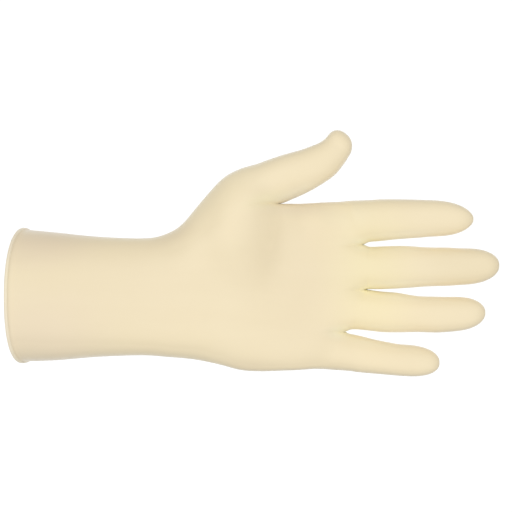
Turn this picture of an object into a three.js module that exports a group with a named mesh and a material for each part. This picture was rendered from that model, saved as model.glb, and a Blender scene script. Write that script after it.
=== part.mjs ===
// A disposable latex glove in the form that a hand gives it: one thin film, open at the cuff and hollow to
// the fingertips. Millimetres. +X runs along the hand to the fingertips, +Z to the thumb side, and the palm
// faces -Y. The origin is the middle of the wrist's hollow, where the glove sits on the wrist.
//
// The film is two sheets, palm side and back, that meet along the outline. Each sheet is five lanes side by
// side, from the thumb to the little finger. Lanes are joined up to the crotch between two fingers, and each
// is a tube of its own beyond it. The inner face is the outer one moved in by the film's thickness, and the
// rolled bead joins them at the cuff.
import * as THREE from "three";
import { mergeVertices } from "three/addons/utils/BufferGeometryUtils.js";

const filmThickness = 1.0;
const beadRadius = 1.05;
const rimSlantDeg = 13.5; // the forearm leans back from the palm, and the rim is square to it
const slantFadeSections = 3;

const columnsPerLane = 6; // a finger has twice as many sides
const rowsPerSection = 2;
const capRows = 4;
const capBluntness = [0.86, 1.02, 0.88, 0.9, 0.84]; // for each lane: 1 is an ellipse, less is blunter
const beadSteps = 7;
const relaxRounds = 4;
const relaxShares = [0.5, -0.53]; // in, and back out, so that the form keeps its size
const latexColour = 0xf0e2c0;

const laneCount = 5; // thumb, index, middle, ring, little
const thumbRow = 9; // section at which the thumb leaves the hand
const crotchRow = 13; // section at which the four fingers part

// Named columns for a short table.
function table(columns, rows) {
  return rows.map((row) => Object.fromEntries(columns.map((name, i) => [name, row[i]])));
}

// Sections across the hand, from the rim to the finger crotches. ulnar is the little finger's edge of the
// outline, edge is the thumb's edge up to thumbRow and the index finger's edge after it. half is half the
// thickness and mid the depth of the middle surface on the palm side. square and ulnarSquare are the
// superellipse's exponents on the thumb's half of the section and on the little finger's.
const handSections = table(
  ["ulnarX", "ulnarZ", "edgeX", "edgeZ", "half", "square", "ulnarSquare", "mid"],
  [
    [-67.4, -37.6, -67.4, 38.2, 30.0, 2.2, 2.4, -12.5], // rim
    [-48.5, -36.7, -48.5, 36.4, 28.2, 2.3, 2.5, -7.8],
    [-25.6, -34.6, -25.6, 34.1, 24.6, 2.3, 2.7, -3.0],
    [0.0, -33.5, 0.0, 33.1, 21.2, 2.3, 3.2, 0], // wrist
    [15.4, -34.4, 12.2, 35.0, 20.0, 2.3, 3.4, 0.6],
    [30.2, -35.8, 22.6, 40.8, 19.0, 2.8, 3.4, 0.4],
    [44.4, -38.7, 33.0, 52.7, 18.0, 3.2, 3.4, 0],
    [55.9, -41.6, 45.4, 66.2, 17.0, 3.5, 3.4, 0],
    [66.7, -42.4, 55.6, 72.1, 16.2, 3.5, 3.4, 0],
    [77.5, -42.1, 65.0, 74.9, 15.6, 3.1, 3.4, 0], // thumb crotch
    [88.4, -41.7, 90.1, 52.6, 14.8, 2.2, 3.4, 0],
    [97.5, -41.1, 102.6, 53.4, 14.1, 2.2, 3.2, 0],
    [103.7, -41.2, 112.3, 53.8, 13.4, 2.2, 2.9, 0],
    [107.7, -41.5, 118.6, 54.4, 12.8, 2.2, 2.6, 0], // finger crotches
  ],
);

// Where two lanes part, from the thumb to the little finger.
const crotches = table(
  ["x", "z", "webLength"],
  [
    [79.0, 52.6, 26],
    [126.3, 29.5, 18],
    [127.5, 3.9, 18],
    [116.0, -20.0, 18],
  ],
);

// Sections along each finger beyond its crotches. x and z are the middle of the section in the outline, width
// and depth half its size, heading the way it faces in degrees and lift its depth on the palm side. The last
// row is the tip, which a round cap joins to the section before it.
const fingerColumns = ["x", "z", "width", "depth", "heading", "lift"];
const thumb = table(fingerColumns, [
  [80.0, 66.8, 13.0, 12.4, 32.8, 9],
  [87.5, 69.7, 12.5, 11.8, 31.5, 10],
  [95.6, 73.0, 11.4, 10.8, 32.3, 11],
  [102.9, 76.9, 10.4, 9.9, 37.8, 11.7],
  [107.9, 81.0, 9.05, 8.8, 46.0, 12],
  [111.6, 85.3, 8.1, 7.8, 53.9, 12.2],
  [115.4, 92.4, 0, 0, 55.0, 13],
]);
const fingers = [
  table(fingerColumns, [
    [129.6, 42.9, 11.9, 11.9, 0, 0],
    [136.0, 43.4, 11.8, 11.4, 0, 0],
    [145.4, 43.9, 11.3, 10.6, 0, 0.5],
    [156.8, 44.2, 10.8, 9.9, 0, 1.5],
    [165.6, 44.4, 10.2, 9.2, 0, 2.7],
    [188.2, 43.9, 0, 0, 0, 6],
  ]),
  table(fingerColumns, [
    [130.0, 16.2, 12.0, 12.15, 0, 0],
    [136.8, 16.3, 12.1, 11.6, 0, 0],
    [148.2, 16.7, 12.0, 10.8, 0, 0],
    [162.5, 16.8, 11.1, 10.1, 0, 1],
    [173.9, 16.9, 10.8, 9.7, 0, 2.5],
    [183.6, 17.0, 10.2, 9.0, 0, 4],
    [202.7, 17.7, 0, 0, 0, 7],
  ]),
  table(fingerColumns, [
    [124.5, -7.5, 11.9, 11.8, -20, 0],
    [130.2, -8.0, 11.5, 11.4, 0, 0],
    [136.8, -8.8, 11.45, 11.0, 0, 0],
    [145.4, -9.2, 11.2, 10.5, 0, 0.5],
    [156.8, -10.0, 10.2, 9.9, 0, 1.5],
    [168.2, -10.3, 10.1, 9.3, 0, 2.8],
    [177.2, -10.0, 9.7, 8.7, 0, 4],
    [194.8, -9.1, 0, 0, 0, 7],
  ]),
  table(fingerColumns, [
    [117.8, -31.7, 10.5, 10.6, 0, 0],
    [123.7, -32.7, 10.3, 10.0, 0, 0],
    [134.0, -34.4, 9.5, 9.3, 0, 0.5],
    [145.4, -35.9, 8.9, 8.7, 0, 2],
    [151.4, -36.3, 8.8, 8.3, 0, 3],
    [168.7, -37.2, 0, 0, 0, 6],
  ]),
];
// Half the thickness of each lane where it parts from the hand, and the superellipse's exponent of its
// sections from there on.
const rootDepths = [12.6, 12.2, 12.4, 12.0, 11.0];
const roundPowers = [2.5, 2.3, 2.3, 2.3, 2.3];

// How fast the borders of the lanes swing over to their crotches along the hand.
const thumbSwing = 2;
const fingerSwing = 3;

// The palm curves across, so that the little finger's edge of the hand lies further forward than its middle.
// It does so more and more from the heel of the hand on.
const archDepth = 3.5;
const archMiddleZ = 4;
const archHalfWidth = 46;
const archStartX = 10;
const archGrowLength = 70;

// Soft forms on one side of the hand: along and across are the radii, turn their direction, palm and back the
// heights. A form with a sharp of 1 is a soft bell, and one of 2 has a flatter top and a steeper edge.
const softForms = table(
  ["x", "z", "along", "across", "turn", "sharp", "palm", "back"],
  [
    [46, 36, 27, 20, 75, 1, 6, 0], // ball of the thumb
    [57, 40, 28, 15, 98, 2, 3, 0], // edge of that ball along the palm
    [45, -24, 30, 13, 0, 1, 3.5, 0], // heel of the hand
    [85, 8, 26, 20, 0, 1, -3.5, 1.5], // hollow of the palm
    [81, 43, 18, 11, 90, 1, -5, 0], // fold beside the ball of the thumb
    [107, 42, 12, 11, 0, 1, 1.2, 1.2], // index knuckle
    [112, 16, 12, 11, 0, 1, 1.2, 1.6], // middle knuckle
    [108, -8, 12, 11, 0, 1, 1.2, 1.2], // ring knuckle
    [98, -30, 12, 10, 0, 1, 1.4, 1.0], // little knuckle
  ],
);
// The thumb's side of the hand lies further forward than the rest. Past the thumb's crotch the palm comes back
// from that lift within liftFade.
const thumbLift = { x: 86, z: 69, along: 42, across: 24, turn: 28, sharp: 1, height: 9 };
const liftFade = 26;

const mix = (a, b, share) => a + (b - a) * share;
const clamp01 = (value) => Math.min(1, Math.max(0, value));
const smooth = (value) => clamp01(value) ** 2 * (3 - 2 * clamp01(value));

// The value of a named column at a place between the rows of a table, on a Catmull-Rom curve through them.
function along(rows, column, at) {
  const i = Math.min(Math.max(Math.floor(at), 0), rows.length - 2);
  const t = at - i;
  const value = (k) => rows[k][column];
  const p1 = value(i);
  const p2 = value(i + 1);
  const p0 = i > 0 ? value(i - 1) : 2 * p1 - p2;
  const p3 = i + 2 < rows.length ? value(i + 2) : 2 * p2 - p1;
  const cubic = 3 * (p1 - p2) + p3 - p0;
  const square = 2 * p0 - 5 * p1 + 4 * p2 - p3;
  return p1 + 0.5 * t * (p2 - p0 + t * (square + t * cubic));
}

// A bell of height 1 over a place in the outline.
function bump(form, x, z) {
  const turn = THREE.MathUtils.degToRad(form.turn);
  const dx = x - form.x;
  const dz = z - form.z;
  const u = (dx * Math.cos(turn) + dz * Math.sin(turn)) / form.along;
  const v = (dz * Math.cos(turn) - dx * Math.sin(turn)) / form.across;
  return Math.exp(-((u * u + v * v) ** form.sharp) / 2);
}

// Depth of the middle surface on the palm side at a place in the outline of a lane.
function middleDepth(lane, x, z) {
  const across = Math.min(z - archMiddleZ, 0) / archHalfWidth;
  const arch = archDepth * Math.min(across * across, 1) * smooth((x - archStartX) / archGrowLength);
  const faded = lane > 0 ? smooth((x - crotches[0].x) / liftFade) : 0;
  return arch + thumbLift.height * bump(thumbLift, x, z) * (1 - faded);
}

// A point of one sheet: side is +1 on the palm and -1 on the back. The soft forms grow with the thickness,
// from nothing on the outline to their whole height where the thickness is half.
function sheetPoint(lane, x, z, side, thickness, half, lift, slant) {
  const edge = clamp01(thickness / half);
  const forms = softForms.reduce(
    (sum, form) => sum + (side > 0 ? form.palm : form.back) * bump(form, x, z),
    0,
  );
  const height = side * (thickness + forms * edge);
  const depth = middleDepth(lane, x, z) + lift + height;
  return new THREE.Vector3(x - Math.tan(slant) * height, -depth, z);
}

const sectionsOf = (from, to) => handSections.slice(from, to + 1);
const thumbEdge = sectionsOf(0, thumbRow);
const indexEdge = sectionsOf(thumbRow, crotchRow);
indexEdge[0] = { ...indexEdge[0], edgeX: crotches[0].x, edgeZ: crotches[0].z };

const plan = (x, z) => new THREE.Vector2(x, z);
const edgeAt = (rows, at) => plan(along(rows, "edgeX", at), along(rows, "edgeZ", at));
const ulnarAt = (at) => plan(along(handSections, "ulnarX", at), along(handSections, "ulnarZ", at));
const crotchAt = (k) => plan(crotches[k].x, crotches[k].z);

// Share of the way across a round section at which lane k starts.
const roundShare = (k) => (1 - Math.cos((Math.PI * k) / laneCount)) / 2;

// The six borders of the lanes on one row across the hand, from the thumb's edge to the little finger's edge.
// The first is missing beyond thumbRow.
function borders(row) {
  const ulnar = ulnarAt(row);
  const last = ulnarAt(crotchRow);
  const lastEdge = edgeAt(indexEdge, crotchRow - thumbRow);
  let first = null;
  let second;
  if (row <= thumbRow) {
    first = edgeAt(thumbEdge, row);
    const unpulled = edgeAt(thumbEdge, thumbRow).lerp(ulnarAt(thumbRow), roundShare(1));
    const pull = crotchAt(0).sub(unpulled);
    second = first.clone().lerp(ulnar, roundShare(1));
    second.addScaledVector(pull, (row / thumbRow) ** thumbSwing);
  } else {
    second = edgeAt(indexEdge, row - thumbRow);
  }
  const inner = [2, 3, 4].map((k) => {
    const crotch = crotchAt(k - 1);
    const share = (lastEdge.y - crotch.y) / (lastEdge.y - last.y);
    const pull = crotch.clone().sub(lastEdge.clone().lerp(last, share));
    const palm = second.clone().lerp(ulnar, share);
    palm.addScaledVector(pull, (row / crotchRow) ** fingerSwing);
    if (!first) return palm;
    return first.clone().lerp(ulnar, roundShare(k)).lerp(palm, smooth(row / thumbRow));
  });
  return [first, second, ...inner, ulnar];
}

// From 1 in the middle to 0 at both edges, where s is -1 and 1, with an exponent for each half.
function superellipse(s, square, ulnarSquare) {
  const power = s > 0 ? ulnarSquare : square;
  return (1 - Math.min(Math.abs(s), 1) ** power) ** (1 / power);
}

const webShare = (distance, length) => 1 - (1 - clamp01(distance / length)) ** 2;

// A row of points across one lane of one sheet of the hand. Its thickness is the whole hand's far from the
// crotches, and comes down to each finger's own at them.
function handRow(row, lane, side) {
  const knots = borders(row);
  const widths = knots.map((knot, k) => (k && knots[k - 1] ? knot.distanceTo(knots[k - 1]) : 0));
  const reach = widths.map((_, k) => widths.slice(0, k + 1).reduce((sum, width) => sum + width, 0));
  const total = reach[laneCount];
  const palmStart = reach[1];
  const half = along(handSections, "half", row);
  const square = along(handSections, "square", row);
  const ulnarSquare = along(handSections, "ulnarSquare", row);
  const mid = along(handSections, "mid", row);
  const partRow = lane <= 1 ? thumbRow : crotchRow;
  const spread = smooth(row / partRow);
  const slant = THREE.MathUtils.degToRad(rimSlantDeg) * (1 - smooth(row / slantFadeSections));
  const webAt = (k) => webShare(knots[k].distanceTo(crotchAt(k - 1)), crotches[k - 1].webLength);
  const thumbWeb = row < thumbRow ? webAt(1) : 0;
  const fingerWeb = (k) => webAt(Math.min(Math.max(k, 2), laneCount - 1));
  return Array.from({ length: columnsPerLane + 1 }, (_, j) => {
    const turn = j / columnsPerLane;
    const roundStep = roundShare(lane + 1) - roundShare(lane);
    const inRound = (roundShare(lane + turn) - roundShare(lane)) / roundStep;
    const inFinger = (1 - Math.cos(Math.PI * turn)) / 2;
    const share = mix(inRound, inFinger, spread);
    const at = knots[lane].clone().lerp(knots[lane + 1], share);
    const reached = reach[lane] + share * widths[lane + 1];
    const ownEdge = superellipse(2 * share - 1, roundPowers[lane], roundPowers[lane]);
    const acrossPalm = (2 * (reached - palmStart)) / (total - palmStart) - 1;
    const palmEdge = superellipse(acrossPalm, square, ulnarSquare);
    const finger = rootDepths[lane] * ownEdge;
    let apart;
    if (lane === 0) {
      apart = finger;
    } else {
      const web = mix(fingerWeb(lane), fingerWeb(lane + 1), share);
      apart = Math.sqrt(mix(finger ** 2, (half * palmEdge) ** 2, web));
    }
    let thickness = apart;
    if (row <= thumbRow) {
      const wholeEdge = superellipse((2 * reached) / total - 1, square, ulnarSquare);
      thickness = Math.sqrt(mix(apart ** 2, (half * wholeEdge) ** 2, thumbWeb));
    }
    return sheetPoint(lane, at.x, at.y, side, thickness, half, mid, slant);
  });
}

// The sections of a lane's own tube: its root between two crotches, and then the rows of its table.
function tubeSections(lane) {
  const knots = borders(lane === 0 ? thumbRow : crotchRow);
  const from = knots[lane];
  const to = knots[lane + 1];
  const root = {
    x: (from.x + to.x) / 2,
    z: (from.y + to.y) / 2,
    halfX: (from.x - to.x) / 2,
    halfZ: (from.y - to.y) / 2,
    depth: rootDepths[lane],
    lift: 0,
  };
  const rows = lane === 0 ? thumb : fingers[lane - 1];
  return [
    root,
    ...rows.map((row) => {
      const heading = THREE.MathUtils.degToRad(row.heading);
      const halfX = -row.width * Math.sin(heading);
      const halfZ = row.width * Math.cos(heading);
      const lift = lane === 0 ? row.lift - thumbLift.height : row.lift;
      return { ...row, halfX, halfZ, lift };
    }),
  ];
}

function tubeRow(lane, section, side) {
  return Array.from({ length: columnsPerLane + 1 }, (_, j) => {
    const turn = (Math.PI * j) / columnsPerLane;
    const x = section.x + section.halfX * Math.cos(turn);
    const z = section.z + section.halfZ * Math.cos(turn);
    const thickness = section.depth * superellipse(Math.cos(turn), roundPowers[lane], roundPowers[lane]);
    return sheetPoint(lane, x, z, side, thickness, section.half, section.lift, 0);
  });
}

// The rows of points along one finger or the thumb, from its root to the tip.
function tubeRows(lane, side) {
  const sections = tubeSections(lane);
  const body = sections.slice(0, -1);
  const tip = sections[sections.length - 1];
  const names = ["x", "z", "halfX", "halfZ", "depth", "lift"];
  const half = along(handSections, "half", lane === 0 ? thumbRow : crotchRow);
  const rows = [];
  for (let i = 0; i <= (body.length - 1) * rowsPerSection; i++) {
    const section = Object.fromEntries(names.map((name) => [name, along(body, name, i / rowsPerSection)]));
    rows.push(tubeRow(lane, { ...section, half }, side));
  }
  const shoulder = body[body.length - 1];
  for (let i = 1; i <= capRows; i++) {
    const turn = (Math.PI / 2) * (i / capRows);
    const reach = Math.sin(turn);
    const size = i === capRows ? 0 : Math.cos(turn) ** capBluntness[lane];
    rows.push(
      tubeRow(
        lane,
        {
          x: mix(shoulder.x, tip.x, reach),
          z: mix(shoulder.z, tip.z, reach),
          halfX: shoulder.halfX * size,
          halfZ: shoulder.halfZ * size,
          depth: shoulder.depth * size,
          lift: mix(shoulder.lift, tip.lift, reach),
          half,
        },
        side,
      ),
    );
  }
  return rows;
}

// Adds the faces between rows of points, turned to face outwards.
function addSheet(positions, rows, side) {
  for (let i = 0; i + 1 < rows.length; i++) {
    for (let j = 0; j + 1 < rows[i].length; j++) {
      const corners = [rows[i][j], rows[i + 1][j], rows[i + 1][j + 1], rows[i][j + 1]];
      if (side > 0) corners.reverse();
      const [a, b, c, d] = corners;
      for (const corner of [a, b, c, a, c, d]) positions.push(corner.x, corner.y, corner.z);
    }
  }
}

function outerFace() {
  const positions = [];
  for (const side of [1, -1]) {
    for (let lane = 0; lane < laneCount; lane++) {
      const lastRow = lane === 0 ? thumbRow : crotchRow;
      const rows = [];
      for (let i = 0; i <= lastRow * rowsPerSection; i++) {
        rows.push(handRow(i / rowsPerSection, lane, side));
      }
      addSheet(positions, rows, side);
      addSheet(positions, tubeRows(lane, side), side);
    }
  }
  const geometry = new THREE.BufferGeometry();
  geometry.setAttribute("position", new THREE.Float32BufferAttribute(positions, 3));
  return relaxed(withoutSlivers(mergeVertices(geometry, 1e-3)));
}

// Eases the creases where lanes part, as a taut film does: each vertex moves towards the middle of its
// neighbours, and then a little more than that back out.
function relaxed(geometry) {
  const index = geometry.index.array;
  const place = geometry.getAttribute("position");
  const neighbours = Array.from({ length: place.count }, () => new Set());
  for (let i = 0; i < index.length; i += 3) {
    for (let k = 0; k < 3; k++) {
      neighbours[index[i + k]].add(index[i + ((k + 1) % 3)]);
      neighbours[index[i + ((k + 1) % 3)]].add(index[i + k]);
    }
  }
  const pinned = new Set(rimLoop(index));
  for (let round = 0; round < relaxRounds * relaxShares.length; round++) {
    const share = relaxShares[round % relaxShares.length];
    const before = Array.from(place.array);
    for (let i = 0; i < place.count; i++) {
      if (pinned.has(i)) continue;
      for (let axis = 0; axis < 3; axis++) {
        let sum = 0;
        for (const n of neighbours[i]) sum += before[3 * n + axis];
        const own = before[3 * i + axis];
        place.array[3 * i + axis] = own + share * (sum / neighbours[i].size - own);
      }
    }
  }
  return geometry;
}

// Drops the faces that lost a corner when their vertices were merged, as at a fingertip.
function withoutSlivers(geometry) {
  const kept = [];
  const index = geometry.index.array;
  for (let i = 0; i < index.length; i += 3) {
    const [a, b, c] = index.slice(i, i + 3);
    if (a !== b && b !== c && c !== a) kept.push(a, b, c);
  }
  geometry.setIndex(kept);
  return geometry;
}

// The vertices on the open edge of a face, in order round the cuff.
function rimLoop(index) {
  const halfEdges = new Set();
  for (let i = 0; i < index.length; i += 3) {
    for (let k = 0; k < 3; k++) halfEdges.add(index[i + k] + "," + index[i + ((k + 1) % 3)]);
  }
  const next = new Map();
  for (const key of halfEdges) {
    const [a, b] = key.split(",").map(Number);
    if (!halfEdges.has(b + "," + a)) next.set(a, b);
  }
  const start = next.keys().next().value;
  const loop = [start];
  while (next.get(loop[loop.length - 1]) !== start) loop.push(next.get(loop[loop.length - 1]));
  return loop;
}

// The film: outer face, inner face and the bead that is rolled outwards at the cuff.
function filmGeometry() {
  const outer = outerFace();
  outer.computeVertexNormals();
  const index = [...outer.index.array];
  const place = outer.getAttribute("position");
  const normal = outer.getAttribute("normal");
  const count = place.count;
  const vertices = [...place.array];
  for (let i = 0; i < count; i++) {
    vertices.push(
      place.getX(i) - filmThickness * normal.getX(i),
      place.getY(i) - filmThickness * normal.getY(i),
      place.getZ(i) - filmThickness * normal.getZ(i),
    );
  }
  const triangles = [...index];
  for (let i = 0; i < index.length; i += 3) {
    triangles.push(index[i] + count, index[i + 2] + count, index[i + 1] + count);
  }

  const rim = rimLoop(index);
  const slant = THREE.MathUtils.degToRad(rimSlantDeg);
  const outwards = new THREE.Vector3(-Math.cos(slant), Math.sin(slant), 0);
  const startTurn = -Math.acos((filmThickness - beadRadius) / beadRadius);
  const rings = [rim];
  for (let step = 1; step <= beadSteps; step++) {
    const turn = mix(startTurn, Math.PI, step / beadSteps);
    const ring = rim.map((vertex) => {
      const out = new THREE.Vector3().fromBufferAttribute(normal, vertex);
      out.projectOnPlane(outwards).normalize();
      const point = new THREE.Vector3().fromBufferAttribute(place, vertex);
      point.addScaledVector(out, beadRadius - filmThickness + beadRadius * Math.cos(turn));
      point.addScaledVector(outwards, beadRadius * (Math.sin(turn) - Math.sin(startTurn)));
      vertices.push(point.x, point.y, point.z);
      return vertices.length / 3 - 1;
    });
    rings.push(ring);
  }
  rings.push(rim.map((vertex) => vertex + count));
  for (let k = 0; k + 1 < rings.length; k++) {
    for (let i = 0; i < rim.length; i++) {
      const j = (i + 1) % rim.length;
      const [a, b, c, d] = [rings[k][i], rings[k][j], rings[k + 1][j], rings[k + 1][i]];
      triangles.push(b, a, d, b, d, c);
    }
  }
  const geometry = new THREE.BufferGeometry();
  geometry.setAttribute("position", new THREE.Float32BufferAttribute(vertices, 3));
  geometry.setIndex(triangles);
  geometry.computeVertexNormals();
  return geometry;
}

const latex = new THREE.MeshStandardMaterial({ color: latexColour, roughness: 0.55, metalness: 0 });
const glove = new THREE.Group();
const film = new THREE.Mesh(filmGeometry(), latex);
film.name = "glove_film";
glove.add(film);

export default glove;
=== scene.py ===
import math
import bpy
import numpy as np
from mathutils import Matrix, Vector


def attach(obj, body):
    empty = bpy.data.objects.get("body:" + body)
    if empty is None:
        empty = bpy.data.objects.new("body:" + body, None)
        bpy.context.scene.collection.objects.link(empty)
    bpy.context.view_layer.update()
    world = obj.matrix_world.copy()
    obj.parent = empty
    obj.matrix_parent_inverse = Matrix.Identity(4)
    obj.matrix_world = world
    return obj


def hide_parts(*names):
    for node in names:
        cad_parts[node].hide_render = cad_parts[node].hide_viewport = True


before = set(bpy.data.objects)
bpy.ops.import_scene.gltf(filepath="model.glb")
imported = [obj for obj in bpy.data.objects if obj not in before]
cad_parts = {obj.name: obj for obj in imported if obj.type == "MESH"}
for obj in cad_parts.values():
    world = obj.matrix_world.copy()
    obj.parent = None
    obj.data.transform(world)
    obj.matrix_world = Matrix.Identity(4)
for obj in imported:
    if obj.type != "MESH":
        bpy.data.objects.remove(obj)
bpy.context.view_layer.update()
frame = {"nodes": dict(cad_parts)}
millimetre = 0.001
print("frame loaded:", ", ".join(frame["nodes"]))


# A short table as a dictionary of columns: each name gets the numpy array of its values down the rows.
def columnsOf(names, rows):
    values = np.array(rows, float)
    return {name: values[:, i] for i, name in enumerate(names)}


# Smooth step: three times the square less twice the cube of the value held between 0 and 1.
def smooth(value):
    held = np.clip(value, 0, 1)
    return held * held * (3 - 2 * held)


# Straight line from a to b: a plus the share of their difference.
def mix(a, b, share):
    return a + (b - a) * share


# Catmull-Rom curve through equally spaced values: the cubic between two of them whose slope at each is half the
# difference of that one's neighbours. The values go on straight beyond both ends.
def curveAt(values, at):
    at = np.asarray(at, float)
    before, after = 2 * values[0] - values[1], 2 * values[-1] - values[-2]
    padded = np.concatenate([[before], values, [after]])
    i = np.clip(np.floor(at).astype(int), 0, len(values) - 2)
    t = at - i
    p0, p1, p2, p3 = (padded[i + k] for k in range(4))
    cubic = 3 * (p1 - p2) + p3 - p0
    square = 2 * p0 - 5 * p1 + 4 * p2 - p3
    return p1 + 0.5 * t * (p2 - p0 + t * (square + t * cubic))


# What a user may change on the glove. Lengths are in millimetres, +X to the fingertips, +Z to the thumb's side
# and the palm to -Y. The tables are the same as the solid's, so the film lies where the solid does.
glove = {
    "filmThickness": 1.0,
    "beadRadius": 1.05,
    "rimSlantDeg": 13.5,  # the forearm leans back from the palm, and the rim is square to it
    "slantFadeSections": 3,  # the slant is gone by this section
    "columnsPerLane": 22,  # a finger has twice as many facets round it
    "rowsPerSection": 7,
    "capRows": 14,
    "beadSteps": 16,
    "relaxRounds": 60,
    "relaxShares": (0.5, -0.53),  # in, and back out, so that the form keeps its size
    "mergeStep": 0.001,  # vertices in one cell of this size become one
    "mergeShift": 0.000217,  # keeps the borders of the cells off round numbers
    "thumbRow": 9,  # section at which the thumb leaves the hand
    "crotchRow": 13,  # section at which the four fingers part
    "thumbSwing": 2,  # how fast the borders of the lanes swing over to their crotches
    "fingerSwing": 3,
    "capBluntness": (0.86, 1.02, 0.88, 0.9, 0.84),  # for each lane: 1 is an ellipse, less is blunter
    "rootDepths": (12.6, 12.2, 12.4, 12.0, 11.0),  # half the thickness where each lane leaves the hand
    "roundPowers": (2.5, 2.3, 2.3, 2.3, 2.3),  # 2 is an ellipse, and more is squarer
    # sections across the hand, from the rim to the finger crotches
    "sections": columnsOf(
        ("ulnarX", "ulnarZ", "edgeX", "edgeZ", "half", "square", "ulnarSquare", "mid"),
        [
            [-67.4, -37.6, -67.4, 38.2, 30.0, 2.2, 2.4, -12.5],
            [-48.5, -36.7, -48.5, 36.4, 28.2, 2.3, 2.5, -7.8],
            [-25.6, -34.6, -25.6, 34.1, 24.6, 2.3, 2.7, -3.0],
            [0.0, -33.5, 0.0, 33.1, 21.2, 2.3, 3.2, 0],
            [15.4, -34.4, 12.2, 35.0, 20.0, 2.3, 3.4, 0.6],
            [30.2, -35.8, 22.6, 40.8, 19.0, 2.8, 3.4, 0.4],
            [44.4, -38.7, 33.0, 52.7, 18.0, 3.2, 3.4, 0],
            [55.9, -41.6, 45.4, 66.2, 17.0, 3.5, 3.4, 0],
            [66.7, -42.4, 55.6, 72.1, 16.2, 3.5, 3.4, 0],
            [77.5, -42.1, 65.0, 74.9, 15.6, 3.1, 3.4, 0],
            [88.4, -41.7, 90.1, 52.6, 14.8, 2.2, 3.4, 0],
            [97.5, -41.1, 102.6, 53.4, 14.1, 2.2, 3.2, 0],
            [103.7, -41.2, 112.3, 53.8, 13.4, 2.2, 2.9, 0],
            [107.7, -41.5, 118.6, 54.4, 12.8, 2.2, 2.6, 0],
        ],
    ),
    # where two lanes part, from the thumb to the little finger
    "crotches": columnsOf(
        ("x", "z", "webLength"),
        [[79.0, 52.6, 26], [126.3, 29.5, 18], [127.5, 3.9, 18], [116.0, -20.0, 18]],
    ),
    # the palm curves across to the little finger's edge, from the heel of the hand on
    "arch": {"depth": 3.5, "middleZ": 4, "halfWidth": 46, "startX": 10, "growLength": 70},
    # the thumb's side lies forward, and beyond the thumb's crotch the palm comes back from it in liftFade
    "thumbLift": {"x": 86, "z": 69, "along": 42, "across": 24, "turn": 28, "sharp": 1, "height": 9},
    "liftFade": 26,
    # soft forms: radii, turn, 1 for a soft bell or 2 for a flatter one, and heights on the palm and on the back
    "softForms": columnsOf(
        ("x", "z", "along", "across", "turn", "sharp", "palm", "back"),
        [
            [46, 36, 27, 20, 75, 1, 6, 0],  # ball of the thumb
            [57, 40, 28, 15, 98, 2, 3, 0],  # edge of that ball along the palm
            [45, -24, 30, 13, 0, 1, 3.5, 0],  # heel of the hand
            [85, 8, 26, 20, 0, 1, -3.5, 1.5],  # hollow of the palm
            [81, 43, 18, 11, 90, 1, -5, 0],  # fold beside the ball of the thumb
            [107, 42, 12, 11, 0, 1, 1.2, 1.2],  # index knuckle
            [112, 16, 12, 11, 0, 1, 1.2, 1.6],  # middle knuckle
            [108, -8, 12, 11, 0, 1, 1.2, 1.2],  # ring knuckle
            [98, -30, 12, 10, 0, 1, 1.4, 1.0],  # little knuckle
        ],
    ),
}

# Sections along each finger: middle, half width and half depth, heading in degrees, and lift to the palm's side.
# The last row is the tip.
fingerNames = ("x", "z", "width", "depth", "heading", "lift")
fingerRows = {
    "thumb": [
        [80.0, 66.8, 13.0, 12.4, 32.8, 9],
        [87.5, 69.7, 12.5, 11.8, 31.5, 10],
        [95.6, 73.0, 11.4, 10.8, 32.3, 11],
        [102.9, 76.9, 10.4, 9.9, 37.8, 11.7],
        [107.9, 81.0, 9.05, 8.8, 46.0, 12],
        [111.6, 85.3, 8.1, 7.8, 53.9, 12.2],
        [115.4, 92.4, 0, 0, 55.0, 13],
    ],
    "index": [
        [129.6, 42.9, 11.9, 11.9, 0, 0],
        [136.0, 43.4, 11.8, 11.4, 0, 0],
        [145.4, 43.9, 11.3, 10.6, 0, 0.5],
        [156.8, 44.2, 10.8, 9.9, 0, 1.5],
        [165.6, 44.4, 10.2, 9.2, 0, 2.7],
        [188.2, 43.9, 0, 0, 0, 6],
    ],
    "middle": [
        [130.0, 16.2, 12.0, 12.15, 0, 0],
        [136.8, 16.3, 12.1, 11.6, 0, 0],
        [148.2, 16.7, 12.0, 10.8, 0, 0],
        [162.5, 16.8, 11.1, 10.1, 0, 1],
        [173.9, 16.9, 10.8, 9.7, 0, 2.5],
        [183.6, 17.0, 10.2, 9.0, 0, 4],
        [202.7, 17.7, 0, 0, 0, 7],
    ],
    "ring": [
        [124.5, -7.5, 11.9, 11.8, -20, 0],
        [130.2, -8.0, 11.5, 11.4, 0, 0],
        [136.8, -8.8, 11.45, 11.0, 0, 0],
        [145.4, -9.2, 11.2, 10.5, 0, 0.5],
        [156.8, -10.0, 10.2, 9.9, 0, 1.5],
        [168.2, -10.3, 10.1, 9.3, 0, 2.8],
        [177.2, -10.0, 9.7, 8.7, 0, 4],
        [194.8, -9.1, 0, 0, 0, 7],
    ],
    "little": [
        [117.8, -31.7, 10.5, 10.6, 0, 0],
        [123.7, -32.7, 10.3, 10.0, 0, 0],
        [134.0, -34.4, 9.5, 9.3, 0, 0.5],
        [145.4, -35.9, 8.9, 8.7, 0, 2],
        [151.4, -36.3, 8.8, 8.3, 0, 3],
        [168.7, -37.2, 0, 0, 0, 6],
    ],
}
laneFingers = [columnsOf(fingerNames, rows) for rows in fingerRows.values()]
laneCount = len(laneFingers)


# Bell of height 1: e to the power of minus half the squared distance from its middle, counted in turned radii
# and raised to its sharpness.
def bell(form, x, z):
    turn = math.radians(form["turn"])
    u = ((x - form["x"]) * math.cos(turn) + (z - form["z"]) * math.sin(turn)) / form["along"]
    v = ((z - form["z"]) * math.cos(turn) - (x - form["x"]) * math.sin(turn)) / form["across"]
    return np.exp(-((u * u + v * v) ** form["sharp"]) / 2)


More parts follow.
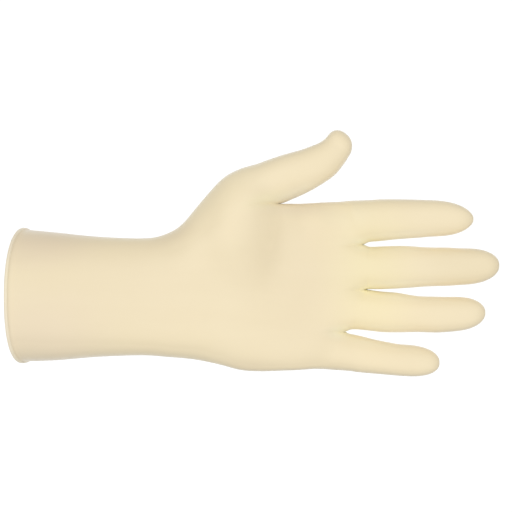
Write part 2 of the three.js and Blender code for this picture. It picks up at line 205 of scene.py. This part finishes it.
# Depth of the middle surface towards the palm's side: an arch that grows as the square of the way across, plus a
# bell at the thumb, which fades from the palm beyond the thumb's crotch.
def middleDepth(x, z, lane):
    arch = glove["arch"]
    across = np.minimum(z - arch["middleZ"], 0) / arch["halfWidth"]
    grown = smooth((x - arch["startX"]) / arch["growLength"])
    lift = glove["thumbLift"]
    faded = smooth((x - glove["crotches"]["x"][0]) / glove["liftFade"]) if lane > 0 else 0
    arched = arch["depth"] * np.minimum(across * across, 1) * grown
    return arched + lift["height"] * bell(lift, x, z) * (1 - faded)


# A sheet's points: the middle surface, plus the half thickness and the soft forms' bells out to the sheet's
# side. The bells grow with the share of the full thickness, and the slant shifts points along X by their height.
def sheetPoints(lane, x, z, side, thickness, half, lift, slant):
    forms = glove["softForms"]
    heights = forms["palm"] if side > 0 else forms["back"]
    raised = sum(
        height * bell({name: values[i] for name, values in forms.items()}, x, z)
        for i, height in enumerate(heights)
    )
    height = side * (thickness + raised * np.clip(thickness / half, 0, 1))
    depth = middleDepth(x, z, lane) + lift + height
    return np.stack([x - np.tan(slant) * height, -depth, z], axis=-1)


# Share of the way across a round section at which a lane starts: half of one less the cosine of its turn.
def roundShare(lane):
    return (1 - np.cos(np.pi * np.asarray(lane) / laneCount)) / 2


# Outline points as x and z beside each other, on the curves through two columns of the sections. The index
# finger's edge starts at the thumb's crotch, in place of the first section named.
def planAt(nameX, nameZ, at, first=0, last=None):
    columns = glove["sections"]
    x, z = (columns[name][first:last].copy() for name in (nameX, nameZ))
    if first:
        x[0], z[0] = glove["crotches"]["x"][0], glove["crotches"]["z"][0]
    return np.stack([curveAt(x, at), curveAt(z, at)], axis=-1)


# The six borders of the lanes on rows across the hand, each an array of outline points. Between the outer edges
# a border is a straight share of the way across, pulled to its crotch by a power of the way along the hand.
def laneBorders(row):
    thumbRow, crotchRow = glove["thumbRow"], glove["crotchRow"]
    onHand = np.minimum(row, thumbRow)
    crotch = np.stack([glove["crotches"]["x"], glove["crotches"]["z"]], axis=-1)
    ulnar = planAt("ulnarX", "ulnarZ", row)
    first = planAt("edgeX", "edgeZ", onHand, 0, thumbRow + 1)
    beyond = planAt("edgeX", "edgeZ", np.maximum(row - thumbRow, 0), thumbRow)
    thumbEnd = planAt("edgeX", "edgeZ", thumbRow, 0, thumbRow + 1)
    pull = crotch[0] - mix(thumbEnd, planAt("ulnarX", "ulnarZ", thumbRow), roundShare(1))
    swing = (onHand / thumbRow)[..., None] ** glove["thumbSwing"]
    second = mix(first, ulnar, roundShare(1)) + pull * swing
    second = np.where((row <= thumbRow)[..., None], second, beyond)
    lastEdge = planAt("edgeX", "edgeZ", crotchRow - thumbRow, thumbRow)
    last = planAt("ulnarX", "ulnarZ", crotchRow)
    swing = (row / crotchRow)[..., None] ** glove["fingerSwing"]
    inner = []
    for k in range(2, laneCount):
        share = (lastEdge[1] - crotch[k - 1][1]) / (lastEdge[1] - last[1])
        pull = crotch[k - 1] - mix(lastEdge, last, share)
        palm = mix(second, ulnar, share) + pull * swing
        onRound = mix(mix(first, ulnar, roundShare(k)), palm, smooth(row / thumbRow)[..., None])
        inner.append(np.where((row <= thumbRow)[..., None], onRound, palm))
    return [first, second, *inner, ulnar]


# Superellipse: one less the power of the distance from the middle, to one over that power, with an exponent for
# each half.
def superellipse(s, square, ulnarSquare):
    power = np.where(s > 0, ulnarSquare, square)
    return (1 - np.minimum(np.abs(s), 1) ** power) ** (1 / power)


# Share of the hand's thickness at a distance from a crotch: one less the square of what is left of the web.
def webShare(distance, length):
    return 1 - (1 - np.clip(distance / length, 0, 1)) ** 2


# One lane of one sheet of the hand, as a grid of rows along it and columns across it. The squared thickness is a
# mix of the finger's own round and the hand's superellipse, by the distance from the crotches.
def handSheet(lane, side):
    thumbRow, crotchRow = glove["thumbRow"], glove["crotchRow"]
    lastRow = thumbRow if lane == 0 else crotchRow
    row = np.linspace(0, lastRow, lastRow * glove["rowsPerSection"] + 1)
    turn = np.linspace(0, 1, glove["columnsPerLane"] + 1)[None, :]
    knots = laneBorders(row)
    widths = [np.linalg.norm(knots[k + 1] - knots[k], axis=-1) for k in range(laneCount)]
    widths.insert(0, np.zeros(len(row)))
    widths[1] = np.where(row <= thumbRow, widths[1], 0)
    reach = np.cumsum(widths, axis=0)
    total, palmStart = reach[laneCount][:, None], reach[1][:, None]
    names = ("half", "square", "ulnarSquare", "mid")
    half, square, ulnarSquare, mid = (curveAt(glove["sections"][name], row)[:, None] for name in names)
    spread = smooth(row / (thumbRow if lane <= 1 else crotchRow))[:, None]
    slant = math.radians(glove["rimSlantDeg"]) * (1 - smooth(row / glove["slantFadeSections"]))[:, None]
    webs = glove["crotches"]
    crotch = np.stack([webs["x"], webs["z"]], axis=-1)

    # the web's share on a border between two fingers, which the hand's outer edges take from the next border
    def webOf(border):
        k = min(max(border, 2), laneCount - 1)
        distance = np.linalg.norm(knots[k] - crotch[k - 1], axis=-1)
        return webShare(distance, webs["webLength"][k - 1])[:, None]

    inRound = (roundShare(lane + turn) - roundShare(lane)) / (roundShare(lane + 1) - roundShare(lane))
    inFinger = (1 - np.cos(np.pi * turn)) / 2
    share = mix(inRound, inFinger, spread)
    at = mix(knots[lane][:, None, :], knots[lane + 1][:, None, :], share[..., None])
    reached = reach[lane][:, None] + share * widths[lane + 1][:, None]
    power = glove["roundPowers"][lane]
    finger = glove["rootDepths"][lane] * superellipse(2 * share - 1, power, power)
    apart = finger**2
    if lane > 0:
        acrossPalm = 2 * (reached - palmStart) / (total - palmStart) - 1
        palm = half * superellipse(acrossPalm, square, ulnarSquare)
        apart = mix(apart, palm**2, mix(webOf(lane), webOf(lane + 1), share))
    whole = half * superellipse(2 * reached / total - 1, square, ulnarSquare)
    thumbWeb = webShare(np.linalg.norm(knots[1] - crotch[0], axis=-1), webs["webLength"][0])
    thumbWeb = np.where(row < thumbRow, thumbWeb, 0)[:, None]
    thickness = np.sqrt(mix(apart, whole**2, thumbWeb))
    return sheetPoints(lane, at[..., 0], at[..., 1], side, thickness, half, mid, slant)


# One side of a finger or the thumb beyond its crotches: half rounds carried along the finger's curve, closed at
# the tip by a quarter turn whose size is a power of its cosine.
def tubeSheet(lane, side):
    rows = laneFingers[lane]
    endRow = glove["thumbRow"] if lane == 0 else glove["crotchRow"]
    knots = laneBorders(np.array([float(endRow)]))
    start, end = knots[lane][0], knots[lane + 1][0]
    middleX, middleZ = (start + end) / 2
    halfX, halfZ = (start - end) / 2
    heading = np.radians(rows["heading"])
    lift = rows["lift"] - (glove["thumbLift"]["height"] if lane == 0 else 0)
    body = {
        "x": np.append(middleX, rows["x"][:-1]),
        "z": np.append(middleZ, rows["z"][:-1]),
        "halfX": np.append(halfX, (-rows["width"] * np.sin(heading))[:-1]),
        "halfZ": np.append(halfZ, (rows["width"] * np.cos(heading))[:-1]),
        "depth": np.append(glove["rootDepths"][lane], rows["depth"][:-1]),
        "lift": np.append(0, lift[:-1]),
    }
    steps = (len(body["x"]) - 1) * glove["rowsPerSection"]
    at = np.linspace(0, len(body["x"]) - 1, steps + 1)
    made = {name: curveAt(values, at) for name, values in body.items()}
    turn = np.linspace(0, np.pi / 2, glove["capRows"] + 1)[1:]
    size = np.clip(np.cos(turn), 0, 1) ** glove["capBluntness"][lane]
    size[-1] = 0
    for name, tip in (("x", rows["x"][-1]), ("z", rows["z"][-1]), ("lift", lift[-1])):
        made[name] = np.append(made[name], mix(body[name][-1], tip, np.sin(turn)))
    for name in ("halfX", "halfZ", "depth"):
        made[name] = np.append(made[name], body[name][-1] * size)
    across = np.cos(np.linspace(0, np.pi, glove["columnsPerLane"] + 1))[None, :]
    column = {name: values[:, None] for name, values in made.items()}
    x = column["x"] + column["halfX"] * across
    z = column["z"] + column["halfZ"] * across
    power = glove["roundPowers"][lane]
    thickness = column["depth"] * superellipse(across, power, power)
    half = curveAt(glove["sections"]["half"], endRow)
    return sheetPoints(lane, x, z, side, thickness, half, column["lift"], 0)


# Two triangles for each cell of a grid, as three corner numbers, turned to face out on the given side.
def gridTriangles(rows, columns, firstNumber, side):
    number = firstNumber + np.arange(rows * columns).reshape(rows, columns)
    a, b, c, d = number[:-1, :-1], number[1:, :-1], number[1:, 1:], number[:-1, 1:]
    ordered = (d, c, b, a) if side > 0 else (a, b, c, d)
    p, q, r, s = (corner.ravel() for corner in ordered)
    return np.concatenate([np.stack([p, q, r], axis=1), np.stack([p, r, s], axis=1)])


# Vertices whose shifted coordinates, divided by the step and rounded down, are the same become one. Triangles
# that lose a corner by it go.
def merged(points, triangles):
    key = np.floor((points + glove["mergeShift"]) / glove["mergeStep"]).astype(np.int64)
    _, kept, inverse = np.unique(key, axis=0, return_index=True, return_inverse=True)
    triangles = inverse.reshape(-1)[triangles]
    a, b, c = triangles.T
    return points[kept], triangles[(a != b) & (b != c) & (c != a)]


# The outer face of the film: each lane's hand sheet and finger sheet on both sides, put together.
def outerFace():
    points, triangles, count = [], [], 0
    for side in (1, -1):
        for lane in range(laneCount):
            for grid in (handSheet(lane, side), tubeSheet(lane, side)):
                rows, columns = grid.shape[:2]
                triangles.append(gridTriangles(rows, columns, count, side))
                points.append(grid.reshape(-1, 3))
                count += rows * columns
    return merged(np.concatenate(points), np.concatenate(triangles))


# Eases creases as a taut film does: each vertex goes a share of the way to the mean of its neighbours, and then
# a little more than that share back out, which keeps the size. The rim's vertices stay.
def relaxed(points, triangles, pinned):
    edges = np.concatenate([triangles[:, [0, 1]], triangles[:, [1, 2]], triangles[:, [2, 0]]])
    edges = np.unique(np.sort(edges, axis=1), axis=0)
    start, end = np.concatenate([edges, edges[:, ::-1]]).T
    count = np.bincount(start, minlength=len(points))[:, None]
    free = np.ones((len(points), 1))
    free[pinned] = 0
    for _ in range(glove["relaxRounds"]):
        for share in glove["relaxShares"]:
            sums = [np.bincount(start, points[end, axis], len(points)) for axis in range(3)]
            points = points + free * share * (np.stack(sums, axis=1) / count - points)
    return points


# Mean of the faces' normals round each vertex, by area, at length one: the sum of the cross products of their
# sides, divided by its own length.
def vertexNormals(points, triangles):
    a, b, c = (points[triangles[:, k]] for k in range(3))
    faceNormal = np.repeat(np.cross(b - a, c - a), 3, axis=0)
    sums = [np.bincount(triangles.ravel(), faceNormal[:, axis], len(points)) for axis in range(3)]
    normal = np.stack(sums, axis=1)
    return normal / np.linalg.norm(normal, axis=1, keepdims=True)


# The film's rim in order, as vertex numbers: row 0 of each lane over the palm's side and back over the other,
# each point matched with the vertex nearest to it.
def rimNumbers(points):
    palm = [handSheet(lane, 1)[0, :-1] for lane in range(laneCount)]
    back = [handSheet(lane, -1)[0, :0:-1] for lane in reversed(range(laneCount))]
    ring = np.concatenate(palm + back)
    near = np.nonzero(points[:, 0] < ring[:, 0].max() + 1)[0]
    apart = ((points[near][None] - ring[:, None]) ** 2).sum(axis=-1)
    return near[apart.argmin(axis=1)]


# The whole film: outer face, inner face moved in along the normals by the thickness, and between them a bead
# whose section is a circle, carried round the rim.
def filmSurface():
    outer, triangles = outerFace()
    rim = rimNumbers(outer)
    outer = relaxed(outer, triangles, rim)
    normal = vertexNormals(outer, triangles)
    count = len(outer)
    inner = outer - glove["filmThickness"] * normal
    slant = math.radians(glove["rimSlantDeg"])
    outwards = np.array([-math.cos(slant), math.sin(slant), 0])
    radius, film = glove["beadRadius"], glove["filmThickness"]
    startTurn = -math.acos((film - radius) / radius)
    turn = np.linspace(startTurn, math.pi, glove["beadSteps"] + 1)[1:, None, None]
    out = normal[rim] - (normal[rim] @ outwards)[:, None] * outwards
    out /= np.linalg.norm(out, axis=1, keepdims=True)
    bead = outer[rim] + out * (radius - film + radius * np.cos(turn))
    bead = bead + outwards * radius * (np.sin(turn) - math.sin(startTurn))
    beadNumbers = 2 * count + np.arange(glove["beadSteps"] * len(rim)).reshape(glove["beadSteps"], -1)
    rings = np.concatenate([rim[None], beadNumbers, rim[None] + count])
    rings = np.concatenate([rings, rings[:, :1]], axis=1)
    corners = rings[:-1, :-1], rings[:-1, 1:], rings[1:, 1:], rings[1:, :-1]
    a, b, c, d = (corner.ravel() for corner in corners)
    beadTriangles = np.concatenate([np.stack([a, d, b], axis=1), np.stack([b, d, c], axis=1)])
    points = np.concatenate([outer, inner, bead.reshape(-1, 3)])
    faces = np.concatenate([triangles, triangles[:, ::-1] + count, beadTriangles])
    onBead = np.arange(len(points)) >= 2 * count  # the bead's vertices come after both faces'
    return points, faces, onBead


# A smooth mesh object from points in millimetres and triangles, with a value of 0 or 1 at each vertex.
def meshPiece(name, points, triangles, valueName, values):
    mesh = bpy.data.meshes.new(name)
    mesh.vertices.add(len(points))
    mesh.vertices.foreach_set("co", (points * millimetre).astype(np.float32).ravel())
    mesh.loops.add(triangles.size)
    mesh.loops.foreach_set("vertex_index", triangles.astype(np.int32).ravel())
    mesh.polygons.add(len(triangles))
    mesh.polygons.foreach_set("loop_start", np.arange(0, triangles.size, 3, dtype=np.int32))
    mesh.polygons.foreach_set("use_smooth", np.ones(len(triangles), dtype=bool))
    mesh.update(calc_edges=True)
    mesh.validate()
    mesh.attributes.new(valueName, "FLOAT", "POINT").data.foreach_set("value", values.astype(np.float32))
    piece = bpy.data.objects.new(name, mesh)
    bpy.context.collection.objects.link(piece)
    return piece


filmPoints, filmTriangles, onBead = filmSurface()
gloveFilm = meshPiece("gloveFilm", filmPoints, filmTriangles, "onBead", onBead)
print("film made:", len(filmTriangles), "triangles")


# What a user may change on the latex. Colours are linear, and lengths in metres. A pattern's scale is its number
# of waves in a metre.
latex = {
    "cream": (0.945, 0.808, 0.546),
    "pale": (0.97, 0.84, 0.586),
    "roughness": 0.46,
    "roughnessSpread": 0.07,
    "powder": 0.25,  # the fine powder on the film, which greys it along its edges
    "powderRoughness": 0.4,
    "powderTone": (0.5, 0.7, 0.92),
    "mottle": {"scale": 26, "detail": 3},  # cloudy patches a few centimetres wide
    "streak": {"scale": 120, "detail": 2, "length": 14},  # runs left as the film drained along the hand
    "streakTone": (0.975, 0.97, 0.955),
    "beadPaintedHighlight": (1.02, 1.06, 1.14),  # painted highlight: the rolled film is painted paler and bluer, where it looks lit
    "speck": {"scale": 420, "detail": 4},  # specks of curing powder and uneven film
    "ripple": {"scale": 95, "detail": 2},  # long slack ripples of the film
    "rippleHeight": 0.00022,
    "grain": {"scale": 1500, "detail": 3},  # the film's own fine grain
    "grainHeight": 0.00003,
    "bumpStrength": 0.5,
    "patchDepth": 10,  # so deep that a patch is the same on the palm and on the back
    # painted shade and painted light, each a soft round patch that darkens or brightens the colour: darker where
    # the hollow of the palm, the wrist, the edges and the cuff lie in shade, paler and bluer in the crotches and
    # the gaps between the fingers, which lie in shade; fingerRoots also yellows the finger roots, the thicker
    # film's own
    # tone. Columns: middle, radii along and across at half its strength, turn in degrees, and what each of the
    # three colours is multiplied by in the middle of the patch
    "paintedLightShadeAndTone": {
        "palmHollow": ((0.090, 0.014), 0.022, 0.034, 0, (0.964, 0.958, 0.958)),
        "forearm": ((-0.030, 0.004), 0.055, 0.026, 0, (0.972, 0.968, 0.972)),
        "thumbRoot": ((0.048, 0.059), 0.024, 0.007, 50, (1.02, 1.025, 1.02)),
        "wristBend": ((0.019, 0.0350), 0.012, 0.004, 25, (0.96, 0.95, 0.95)),
        "palmEdge": ((0.063, -0.0395), 0.014, 0.004, -2, (0.96, 0.955, 0.965)),
        "fingerRoots": ((0.129, 0.014), 0.018, 0.030, 0, (1.02, 1.035, 0.955)),
        "ringMiddle": ((0.138, -0.009), 0.026, 0.012, 0, (1.03, 1.025, 1.0)),
        "middleEnd": ((0.184, 0.0175), 0.018, 0.011, 0, (0.965, 0.965, 0.96)),
        "littleMiddle": ((0.132, -0.035), 0.020, 0.008, -6, (1.025, 1.02, 1.015)),
        "cuffEdge": ((-0.056, 0.032), 0.023, 0.011, 3, (0.945, 0.925, 0.965)),
        "cuffLower": ((-0.056, -0.021), 0.026, 0.018, 0, (0.99, 0.98, 1.03)),
        "indexEdge": ((0.091, 0.0525), 0.016, 0.005, 2, (0.92, 0.925, 0.98)),
        "indexBase": ((0.110, 0.0495), 0.014, 0.007, 0, (1.0, 1.025, 1.06)),
        "thumbGap": ((0.094, 0.0590), 0.014, 0.0035, 17, (1.0, 1.04, 1.11)),
        "thumbCrotch": ((0.0715, 0.0545), 0.010, 0.0035, 15, (1.03, 1.06, 1.03)),
        "indexCrotch": ((0.1262, 0.0296), 0.005, 0.003, 0, (1.0, 1.04, 1.1)),
        "middleCrotch": ((0.1280, 0.0040), 0.004, 0.002, 0, (1.03, 1.08, 1.13)),
        "ringCrotch": ((0.1140, -0.0200), 0.006, 0.003, 0, (1.03, 1.08, 1.11)),
        "indexGap": ((0.150, 0.0312), 0.020, 0.0042, 2, (0.99, 1.055, 1.21)),
        "middleGap": ((0.154, 0.0035), 0.021, 0.0042, -1, (0.99, 1.055, 1.21)),
        "ringGap": ((0.142, -0.0228), 0.023, 0.0044, -4, (0.99, 1.055, 1.21)),
    },
}


# A node of the given kind with plain values on its named inputs.
def nodeOf(nodes, kind, **values):
    node = nodes.new(kind)
    for name, value in values.items():
        node.inputs[name].default_value = value
    return node


# Noise at the piece's own coordinates times the scale, drawn out along the hand by a length in widths.
def noiseOf(tree, place, scale, detail, length=1):
    drawn = nodeOf(tree.nodes, "ShaderNodeMapping", Scale=(1 / length, 1, 1))
    noise = nodeOf(tree.nodes, "ShaderNodeTexNoise", Scale=scale, Detail=detail)
    tree.links.new(place, drawn.inputs["Vector"])
    tree.links.new(drawn.outputs["Vector"], noise.inputs["Vector"])
    return noise.outputs["Fac"]


# A soft round patch in the outline: the smooth step of one less the distance from its middle, counted in twice
# its radii. The Mapping node moves, turns and scales the coordinates for it.
def patchOf(tree, place, middle, along, across, turn):
    moved = nodeOf(tree.nodes, "ShaderNodeMapping")
    moved.vector_type = "TEXTURE"
    moved.inputs["Location"].default_value = (middle[0], 0, middle[1])
    moved.inputs["Rotation"].default_value = (0, -math.radians(turn), 0)
    moved.inputs["Scale"].default_value = (2 * along, latex["patchDepth"], 2 * across)
    tree.links.new(place, moved.inputs["Vector"])
    fall = nodeOf(tree.nodes, "ShaderNodeTexGradient")
    fall.gradient_type = "SPHERICAL"
    tree.links.new(moved.outputs["Vector"], fall.inputs["Vector"])
    soft = nodeOf(tree.nodes, "ShaderNodeMapRange")
    soft.interpolation_type = "SMOOTHSTEP"
    tree.links.new(fall.outputs["Fac"], soft.inputs["Value"])
    return soft.outputs["Result"]


# The first colour mixed with the second by a share, or with the product of both.
def mixedColour(tree, share, first, second, blend="MIX"):
    node = tree.nodes.new("ShaderNodeMix")
    node.data_type = "RGBA"
    node.blend_type = blend
    tree.links.new(share, node.inputs["Factor"])
    for name, value in (("A", first), ("B", second)):
        socket = next(s for s in node.inputs if s.name == name and s.type == "RGBA")
        if isinstance(value, tuple):
            socket.default_value = (*value, 1)
        else:
            tree.links.new(value, socket)
    return next(s for s in node.outputs if s.type == "RGBA")


# Natural latex: cream mixed with a paler one by cloudy noise, times the tones of the runs, the painted shade and
# painted light of each patch, and the bead's painted highlight. The gloss varies by specks, the normal by
# ripples and grain, and a sheen stands for the powder.
def latexMaterial():
    material = bpy.data.materials.new("naturalLatex")
    material.use_nodes = True
    tree = material.node_tree
    tree.nodes.clear()
    output = tree.nodes.new("ShaderNodeOutputMaterial")
    shader = nodeOf(tree.nodes, "ShaderNodeBsdfPrincipled")
    tree.links.new(shader.outputs["BSDF"], output.inputs["Surface"])
    place = tree.nodes.new("ShaderNodeTexCoord").outputs["Object"]

    cloud = noiseOf(tree, place, **latex["mottle"])
    colour = mixedColour(tree, cloud, latex["cream"], latex["pale"])
    streak = noiseOf(tree, place, **latex["streak"])
    colour = mixedColour(tree, streak, colour, latex["streakTone"], "MULTIPLY")
    # painted shade and painted light: each patch multiplies the colour by its tone in its middle
    for middle, along, across, turn, tone in latex["paintedLightShadeAndTone"].values():
        patch = patchOf(tree, place, middle, along, across, turn)
        colour = mixedColour(tree, patch, colour, tone, "MULTIPLY")
    # painted highlight: the bead's vertices are painted paler and bluer
    bead = tree.nodes.new("ShaderNodeAttribute")
    bead.attribute_name = "onBead"
    colour = mixedColour(tree, bead.outputs["Fac"], colour, latex["beadPaintedHighlight"], "MULTIPLY")
    tree.links.new(colour, shader.inputs["Base Color"])

    speck = noiseOf(tree, place, **latex["speck"])
    rough = nodeOf(tree.nodes, "ShaderNodeMapRange")
    rough.inputs["To Min"].default_value = latex["roughness"] - latex["roughnessSpread"]
    rough.inputs["To Max"].default_value = latex["roughness"] + latex["roughnessSpread"]
    tree.links.new(speck, rough.inputs["Value"])
    tree.links.new(rough.outputs["Result"], shader.inputs["Roughness"])
    shader.inputs["Sheen Weight"].default_value = latex["powder"]
    shader.inputs["Sheen Roughness"].default_value = latex["powderRoughness"]
    shader.inputs["Sheen Tint"].default_value = (*latex["powderTone"], 1)

    normal = None
    for name in ("ripple", "grain"):
        height = latex[name + "Height"]
        bump = nodeOf(tree.nodes, "ShaderNodeBump", Strength=latex["bumpStrength"], Distance=height)
        tree.links.new(noiseOf(tree, place, **latex[name]), bump.inputs["Height"])
        if normal:
            tree.links.new(normal, bump.inputs["Normal"])
        normal = bump.outputs["Normal"]
    tree.links.new(normal, shader.inputs["Normal"])
    return material


gloveFilm.data.materials.append(latexMaterial())
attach(gloveFilm, "root")
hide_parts("glove_film")
print("latex made")


# What a user may change on the studio. Lengths are in metres.
studio = {
    "floorHeight": -0.62,
    "floorSize": 7.0,
    "floorWhite": (0.9, 0.9, 0.9),
    "floorRoughness": 0.9,
    "ambient": 0.519,
    "whiteGlow": 1.1,  # of the floor and the air behind the glove, as the camera sees them
    "softboxSize": 3.4,
    "softboxDistance": 1.6,
    "softboxPower": 34.0,
    "softboxSides": {"frontSoftbox": (0, -1, -0.09), "backSoftbox": (0, 1, 0)},
    "viewWidth": 0.29184,  # what the frame takes in at the hand's middle
    "aim": (0.065, 0, 0.023),
    "cameraDistance": 1.2,
    "sensor": 36,  # in millimetres
    "clipRange": (0.01, 50),
}


# The camera sees the given plain glow instead of the shader, while the glove gets the shader's own light.
def seenFromCamera(nodes, links, shader, kind, output):
    seen = nodeOf(nodes, kind, Color=(1, 1, 1, 1), Strength=studio["whiteGlow"])
    path, choice = nodes.new("ShaderNodeLightPath"), nodes.new("ShaderNodeMixShader")
    links.new(path.outputs["Is Camera Ray"], choice.inputs["Fac"])
    links.new(shader, choice.inputs[1])
    links.new(seen.outputs[0], choice.inputs[2])
    links.new(choice.outputs["Shader"], output.inputs["Surface"])


# A flat square below the glove, which stands for the studio and throws no light on it.
def studioFloor():
    half, height = studio["floorSize"] / 2, studio["floorHeight"]
    mesh = bpy.data.meshes.new("floor")
    corners = [(x * half, y * half, height) for x, y in ((-1, -1), (1, -1), (1, 1), (-1, 1))]
    mesh.from_pydata(corners, [], [(0, 1, 2, 3)])
    floor = bpy.data.objects.new("floor", mesh)
    bpy.context.collection.objects.link(floor)
    material = bpy.data.materials.new("palePaint")
    material.use_nodes = True
    nodes, links = material.node_tree.nodes, material.node_tree.links
    shader = nodes["Principled BSDF"]
    shader.inputs["Base Color"].default_value = (*studio["floorWhite"], 1)
    shader.inputs["Roughness"].default_value = studio["floorRoughness"]
    seenFromCamera(nodes, links, shader.outputs["BSDF"], "ShaderNodeEmission", nodes["Material Output"])
    material.cycles.emission_sampling = "NONE"  # the glow is for the eye and lights nothing
    mesh.materials.append(material)
    floor.visible_diffuse = False
    floor.visible_glossy = False


# The air all round is white to the eye, and lights the glove about half as brightly as it looks.
def studioAir():
    world = bpy.data.worlds.new("studio")
    bpy.context.scene.world = world
    world.use_nodes = True
    nodes, links = world.node_tree.nodes, world.node_tree.links
    nodes.clear()
    output = nodes.new("ShaderNodeOutputWorld")
    light = nodeOf(nodes, "ShaderNodeBackground", Color=(1, 1, 1, 1), Strength=studio["ambient"])
    seenFromCamera(nodes, links, light.outputs["Background"], "ShaderNodeBackground", output)


# A wide soft light at its distance from the glove in a direction, turned to face it.
def softbox(name, direction):
    light = bpy.data.lights.new(name, "AREA")
    light.shape = "SQUARE"
    light.size = studio["softboxSize"]
    light.energy = studio["softboxPower"]
    lamp = bpy.data.objects.new(name, light)
    lamp.location = Vector(studio["aim"]) + Vector(direction).normalized() * studio["softboxDistance"]
    lamp.rotation_euler = Vector(direction).to_track_quat("Z", "Y").to_euler()
    bpy.context.collection.objects.link(lamp)


# The camera stands square before the hand. Its lens is the sensor's width times the distance over the view's
# width.
def studioCamera():
    data = bpy.data.cameras.new("camera")
    data.sensor_width = studio["sensor"]
    data.lens = studio["sensor"] * studio["cameraDistance"] / studio["viewWidth"]
    data.clip_start, data.clip_end = studio["clipRange"]
    camera = bpy.data.objects.new("camera", data)
    camera.location = Vector(studio["aim"]) - Vector((0, studio["cameraDistance"], 0))
    camera.rotation_euler = (math.pi / 2, 0, 0)
    bpy.context.collection.objects.link(camera)
    bpy.context.scene.camera = camera


studioFloor()
studioAir()
for name, direction in studio["softboxSides"].items():
    softbox(name, direction)
studioCamera()
bpy.context.scene.view_settings.view_transform = "Standard"
print("studio made")
